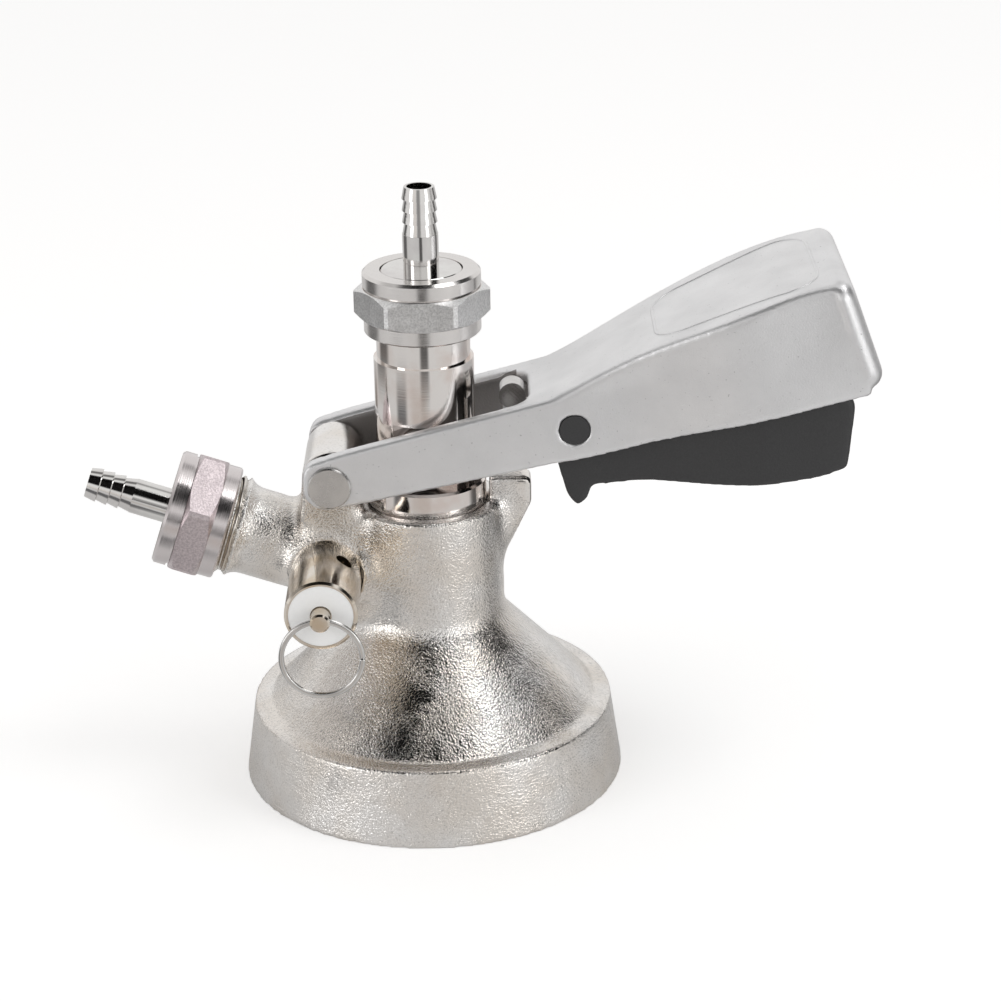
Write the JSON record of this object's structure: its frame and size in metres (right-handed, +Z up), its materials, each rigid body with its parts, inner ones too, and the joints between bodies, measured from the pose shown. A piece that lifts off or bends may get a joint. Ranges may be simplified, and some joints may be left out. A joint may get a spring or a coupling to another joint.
{
  "type": "keg coupler",
  "caption": "Bayonet bell with a lever-driven probe, two barbed hose unions, a squeeze latch and a pull-ring relief valve.",
  "frame": {"origin": "centre of the bell's mouth, on the plane of its rim", "axes": "+Z up along the probe, +X towards the lever handle, -X towards the gas inlet, -Y towards the relief valve"},
  "size_m": [0.1715, 0.085, 0.1346],
  "materials": {
    "nickel_casting": "cast and nickel plated, pebbled",
    "turned_nickel": "turned and nickel plated, glossy",
    "nut_steel": "satin hexagon, turned collars",
    "gas_nut_steel": "satin hexagon with a grained finish",
    "stainless": "polished stainless steel",
    "lever_casting": "die cast, satin",
    "black_nylon": "moulded, fine matt",
    "white_disc": "white, satin",
    "rubber_seal": "moulded nitrile rubber",
    "grey_seal": "moulded silicone",
    "spring_wire": "drawn stainless wire",
    "valve_plastic": "moulded acetal"
  },
  "bodies": {
    "casting": {"body_casting": "nickel_casting", "keg_seal": "rubber_seal", "pivot_pin": "stainless", "pivot_washers": "stainless", "relief_body": "turned_nickel", "relief_cap": "turned_nickel", "relief_disc": "white_disc", "gas_check_valve": "grey_seal", "gas_tail_washer": "rubber_seal", "gas_hose_tail": "stainless"},
    "lever": {"lever_handle": "lever_casting", "trigger_pin": "black_nylon", "grip_spring": "spring_wire"},
    "grip": {"trigger_grip": "black_nylon", "latch_claw": "stainless", "claw_rivet": "stainless"},
    "probe_slider": {"probe": "turned_nickel", "probe_seal": "rubber_seal", "probe_o_ring": "rubber_seal", "ball_stop": "valve_plastic", "beer_tail_washer": "rubber_seal", "beer_hose_tail": "stainless"},
    "ball": {"check_ball": "stainless"},
    "beer_union": {"beer_nut": "nut_steel"},
    "gas_union": {"gas_nut": "gas_nut_steel"},
    "relief_plunger": {"relief_pin": "turned_nickel", "relief_seal": "rubber_seal", "relief_spring": "spring_wire"},
    "pull_ring": {"relief_ring": "spring_wire"}
  },
  "joints": [
    {"name": "lever_pivot", "type": "hinge", "parent": "casting", "child": "lever", "pos_m": [-0.0205, 0, 0.0726], "axis": [0, 1, 0], "range_deg": [0, 16.5]},
    {"name": "probe_slide", "type": "slide", "parent": "casting", "child": "probe_slider", "axis": [0, 0, -1], "range_m": [0, 0.0061]},
    {"name": "trigger_squeeze", "type": "hinge", "parent": "lever", "child": "grip", "pos_m": [0.032, 0, 0.0848], "axis": [0, -1, 0], "range_deg": [0, 9], "stiffness_Nm_per_rad": 0.6, "springref_deg": -6.88, "deforming": ["grip_spring"]},
    {"name": "check_ball_lift", "type": "slide", "parent": "probe_slider", "child": "ball", "axis": [0, 0, 1], "range_m": [0, 0.0026]},
    {"name": "beer_nut_spin", "type": "hinge", "parent": "probe_slider", "child": "beer_union", "pos_m": [0, 0, 0.1097], "axis": [0, 0, 1], "continuous": true},
    {"name": "gas_nut_spin", "type": "hinge", "parent": "casting", "child": "gas_union", "pos_m": [-0.05072, 0, 0.06097], "axis": [-0.9455, 0, 0.3256], "continuous": true},
    {"name": "relief_pull", "type": "slide", "parent": "casting", "child": "relief_plunger", "axis": [0, -1, 0], "range_m": [0, 0.0025], "stiffness_N_per_m": 400, "springref_m": -0.006, "deforming": ["relief_spring"]},
    {"name": "ring_swing", "type": "hinge", "parent": "relief_plunger", "child": "pull_ring", "pos_m": [-0.0222, -0.0357, 0.051], "axis": [-1, 0, 0], "range_deg": [0, 110]}
  ],
  "couplings": [
    {"joint": "probe_slide", "follows": "lever_pivot", "m_per_rad": 0.02084}
  ]
}
